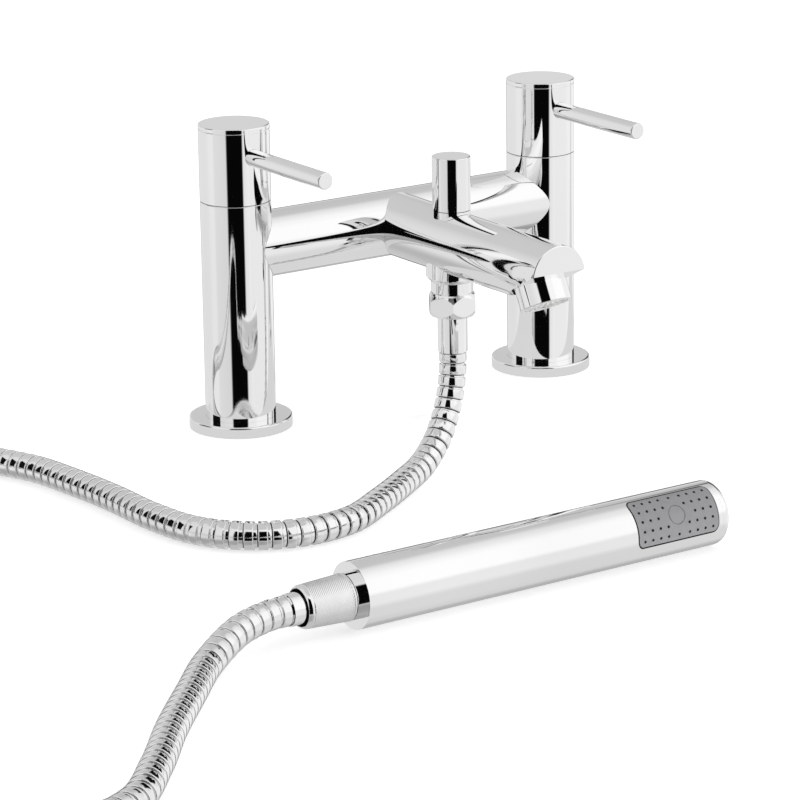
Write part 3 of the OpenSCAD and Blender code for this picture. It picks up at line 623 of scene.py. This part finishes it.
MATERIALS = {
    "chrome": mirror_chrome("chrome", even(0.89), even(0.94), smooth=0.015, dull=0.05),
    "hose_metal": mirror_chrome("hose_metal", even(0.83), even(0.92), smooth=0.03, dull=0.10),
    "satin_chrome": satin_metal("satin_chrome", even(0.80), even(0.89), smooth=0.14, dull=0.24),
    "brass": machined_brass("brass"),
    "rubber": plain_surface("rubber", (0.012, 0.012, 0.013), (0.035, 0.035, 0.037),
                            smooth=0.55, dull=0.8, grain=1500.0, bump=0.25, distance=0.0002,
                            specular=0.15),
    "ceramic": plain_surface("ceramic", (0.78, 0.77, 0.72), (0.88, 0.87, 0.83),
                             smooth=0.12, dull=0.25, grain=1200.0, bump=0.05, distance=0.0001),
    # Dark steel; on the knurled nut it paints the shade in the recess round the hose
    "dark_steel": satin_metal("dark_steel", (0.06, 0.06, 0.065), (0.13, 0.13, 0.135),
                              smooth=0.35, dull=0.55),
    "white_plastic": plain_surface("white_plastic", (0.72, 0.72, 0.70), (0.82, 0.82, 0.81),
                                   smooth=0.38, dull=0.52, grain=1800.0, bump=0.10, distance=0.0001),
    "spray_grey": plain_surface("spray_grey", (0.345, 0.345, 0.355), (0.385, 0.385, 0.395),
                                smooth=0.40, dull=0.52, grain=2400.0, bump=0.10, distance=0.0001),
}


def finish_with(piece, material):
    """Puts the material in the piece's first slot."""
    if piece.data.materials:
        piece.data.materials[0] = material
    else:
        piece.data.materials.append(material)


for subpart in frame["record"]["subparts"]:
    finish_with(frame["nodes"][subpart["node"]], MATERIALS[subpart["material_slot"]])
finish_with(hose, MATERIALS["hose_metal"])
# The hose's second material, dark rubber, is painted shade in the slots between ribs
hose.data.materials.append(MATERIALS["rubber"])
finish_with(knurled_nut, MATERIALS["satin_chrome"])
knurled_nut.data.materials.append(MATERIALS["chrome"])
# The recess gets dark steel as painted shade
knurled_nut.data.materials.append(MATERIALS["dark_steel"])
finish_with(nozzles, MATERIALS["rubber"])
# The bead's dark rubber is painted shade in the seam
finish_with(shade_bead, MATERIALS["rubber"])
for edge in edges:
    finish_with(edge, MATERIALS["chrome"])
for tail in tails:
    finish_with(tail, MATERIALS["brass"])
    tail.visible_glossy = False


# Stage: a pale floor, and a deck one step higher

def stage_material(name, glow, base=0.9):
    material, _, shader = new_material(name)
    shader.inputs["Base Color"].default_value = (base, base, base, 1.0)
    shader.inputs["Roughness"].default_value = 0.9
    shader.inputs["Specular IOR Level"].default_value = 0.0
    shader.inputs["Emission Color"].default_value = (1.0, 1.0, 1.0, 1.0)
    shader.inputs["Emission Strength"].default_value = glow
    return material


def make_stage():
    """A floor that the hose and the handset lie on, and one step higher a deck with a low lip."""
    far = 4.0
    low, high, lip = -0.025, -0.0002, 0.0015
    edge_x, edge_y = -0.130, -0.0425
    white = stage_material("stage_white", 0.52)
    corners = [(-far, -far, low), (far, -far, low), (far, far, low), (-far, far, low)]
    floor = mesh_object("floor", corners, [(0, 1, 2, 3)])
    # Height and distance inwards, up the step, over the lip and down to the deck
    section = [(low, 0.0), (lip - 0.0008, 0.0), (lip - 0.0002, 0.0003), (lip, 0.0009),
               (lip - 0.0002, 0.0015), (lip - 0.0008, 0.0018), (high, 0.0019)]
    points = []
    for z, inset in section:
        x, y = edge_x + inset, edge_y + inset
        points += [(x, far, z), (x, y, z), (far, y, z)]
    points.append((far, far, high))
    last = len(points) - 1
    faces = [(last - 3, last - 2, last - 1, last)]
    for row in range(len(section) - 1):
        for column in range(2):
            corner = row * 3 + column
            faces.append((corner, corner + 1, corner + 4, corner + 3))
    deck = mesh_object("deck", points, faces, sharp_angle=40)
    for ground in (floor, deck):
        finish_with(ground, white)
        ground.visible_glossy = False
    # The lip's inner side, the last two rows, is painted grey as shade, so that the step shows from
    # behind
    deck.data.materials.append(stage_material("stage_grey", 0.05, base=0.4))
    for face in deck.data.polygons[-4:]:
        face.material_index = 1

    # What the feet of the pillars mirror
    back_y = -edge_y
    z = 0.5 * high
    corners = [(edge_x, edge_y, z), (far, edge_y, z), (far, back_y, z), (edge_x, back_y, z)]
    sheen = mesh_object("deck_sheen", corners, [(0, 1, 2, 3)])
    finish_with(sheen, stage_material("stage_sheen", 0.72, base=0.0))
    for ray in ("camera", "diffuse", "shadow", "transmission"):
        setattr(sheen, "visible_" + ray, False)


make_stage()


# Light: a soft white studio all round, with a brighter window and three dark panels

class Sums:
    """Small helper for number nodes."""

    def __init__(self, tree):
        self.tree = tree

    def put(self, value, socket):
        if isinstance(value, (int, float)):
            socket.default_value = value
        else:
            self.tree.links.new(value, socket)

    def math(self, operation, a, b=0.0):
        node = self.tree.nodes.new("ShaderNodeMath")
        node.operation = operation
        self.put(a, node.inputs[0])
        self.put(b, node.inputs[1])
        return node.outputs[0]

    def dot(self, vector, constant):
        node = self.tree.nodes.new("ShaderNodeVectorMath")
        node.operation = "DOT_PRODUCT"
        self.tree.links.new(vector, node.inputs[0])
        node.inputs[1].default_value = constant
        return node.outputs["Value"]

    def step(self, value, low, high):
        node = self.tree.nodes.new("ShaderNodeMapRange")
        node.interpolation_type = "SMOOTHSTEP"
        self.put(value, node.inputs["Value"])
        node.inputs["From Min"].default_value = low
        node.inputs["From Max"].default_value = high
        return node.outputs["Result"]

    def inside(self, *steps):
        """The product of smooth steps, each from 0 at its first limit to 1 at its second."""
        share = self.step(*steps[0])
        for one in steps[1:]:
            share = self.math("MULTIPLY", share, self.step(*one))
        return share

    def blend(self, share, a, b):
        node = self.tree.nodes.new("ShaderNodeMix")
        self.put(share, node.inputs["Factor"])
        self.put(a, node.inputs["A"])
        self.put(b, node.inputs["B"])
        return node.outputs["Result"]

    def ramp(self, value, stops, low, high):
        node = self.tree.nodes.new("ShaderNodeValToRGB")
        share = self.math("DIVIDE", self.math("SUBTRACT", value, low), high - low)
        self.tree.links.new(share, node.inputs["Fac"])
        elements = node.color_ramp.elements
        while len(elements) < len(stops):
            elements.new(0.5)
        for element, (place, grey) in zip(elements, stops):
            element.position = (place - low) / (high - low)
            element.color = (grey, grey, grey, 1.0)
        separate = self.tree.nodes.new("ShaderNodeSeparateColor")
        self.tree.links.new(node.outputs["Color"], separate.inputs["Color"])
        return separate.outputs["Red"]


# The studio's front, which faces the camera, and its right
FRONT = (-0.5564, -0.8309, 0.0)
RIGHT = (0.8309, -0.5564, 0.0)
# Brightness round the horizon, by the angle in degrees from the front, to the right
ROUND = [
    (-180, 0.82), (-124, 0.80), (-100, 0.81), (-86, 0.86), (-73, 0.86), (-66, 0.77), (-23, 0.72),
    (27, 0.80), (45, 0.90), (51, 0.88), (97, 0.89), (104, 0.93), (170, 0.95), (180, 0.86),
]
# Brightness above it
ABOVE = [
    (-180, 0.57), (-170, 0.62), (-130, 0.64), (-112, 0.80), (-60, 0.82), (-20, 0.90), (10, 1.0),
    (100, 1.0), (140, 0.82), (158, 0.60), (180, 0.57),
]
# Brightness below it
BELOW = [
    (-180, 0.60), (-150, 0.60), (-110, 0.40), (-40, 0.42), (0, 0.36), (40, 0.50), (64, 0.74),
    (130, 0.72), (160, 0.46), (180, 0.50),
]


def make_light():
    world = bpy.data.worlds.new("studio")
    bpy.context.scene.world = world
    world.use_nodes = True
    tree = world.node_tree
    tree.nodes.clear()
    sums = Sums(tree)
    way = tree.nodes.new("ShaderNodeTexCoord").outputs["Generated"]
    ahead = sums.dot(way, FRONT)
    beside = sums.dot(way, RIGHT)
    turn = sums.math("DEGREES", sums.math("ARCTAN2", beside, ahead))
    rise = sums.math("DEGREES", sums.math("ARCSINE", sums.dot(way, (0.0, 0.0, 1.0))))
    grey = sums.ramp(turn, ROUND, -180.0, 180.0)
    above = sums.ramp(turn, ABOVE, -180.0, 180.0)
    below = sums.ramp(turn, BELOW, -180.0, 180.0)
    grey = sums.blend(sums.step(rise, 2.0, 20.0), grey, above)
    grey = sums.blend(sums.step(rise, 60.0, 70.0), grey, 0.63)
    # A brighter window on the right
    window = sums.inside((turn, 50.0, 62.0), (turn, 118.0, 100.0), (rise, 2.0, 16.0), (rise, 58.0, 44.0))
    grey = sums.blend(window, grey, 1.07)
    grey = sums.blend(sums.step(rise, -17.0, -36.0), grey, below)
    grey = sums.blend(sums.step(rise, -54.0, -68.0), grey, 0.56)

    # The dark panel in front leans to the left. A small one stands far behind on the right, and a
    # low one straight behind.
    lean = sums.math("MULTIPLY", sums.math("MAXIMUM", rise, 0.0), 0.18)
    right_edge = sums.math("SUBTRACT", sums.math("SUBTRACT", 31.0, lean), turn)
    dark = sums.inside((turn, -27.0, -21.0), (right_edge, 0.0, 5.0),
                       (rise, 52.0, 46.0), (rise, -27.0, -22.0))
    grey = sums.blend(dark, grey, 0.002)
    small = sums.inside((turn, 138.0, 143.0), (turn, 174.0, 168.0), (rise, 7.0, 10.0), (rise, 35.0, 31.0))
    grey = sums.blend(small, grey, 0.004)
    either_way = sums.math("ABSOLUTE", turn)
    back = sums.inside((either_way, 161.0, 168.0), (rise, 8.0, 2.0), (rise, -30.0, -24.0))
    grey = sums.blend(back, grey, 0.16)

    # The camera sees plain white behind the object
    seen = tree.nodes.new("ShaderNodeLightPath").outputs["Is Camera Ray"]
    grey = sums.blend(seen, grey, 1.0)
    background = tree.nodes.new("ShaderNodeBackground")
    tree.links.new(grey, background.inputs["Color"])
    output = tree.nodes.new("ShaderNodeOutputWorld")
    tree.links.new(background.outputs["Background"], output.inputs["Surface"])


def make_dark_card():
    """A black card out of view on the left, which little but the hose mirrors."""
    centre = Vector((-0.991, 0.513, 0.0))
    along = Vector((0.563, 0.826, 0.0)) * 0.315
    low, high = Vector((0, 0, 0.02)), Vector((0, 0, 0.80))
    corners = [centre - along + low, centre + along + low, centre + along + high, centre - along + high]
    card = mesh_object("dark_card", corners, [(0, 1, 2, 3)])
    material, _, shader = new_material("dark_card")
    shader.inputs["Base Color"].default_value = (0.004, 0.004, 0.004, 1.0)
    shader.inputs["Roughness"].default_value = 1.0
    shader.inputs["Specular IOR Level"].default_value = 0.0
    finish_with(card, material)
    for ray in ("camera", "diffuse", "shadow"):
        setattr(card, "visible_" + ray, False)


make_dark_card()
make_light()

settings = bpy.context.scene.view_settings
settings.view_transform = "Standard"
settings.look = "None"
settings.exposure = 0.0
settings.gamma = 1.0
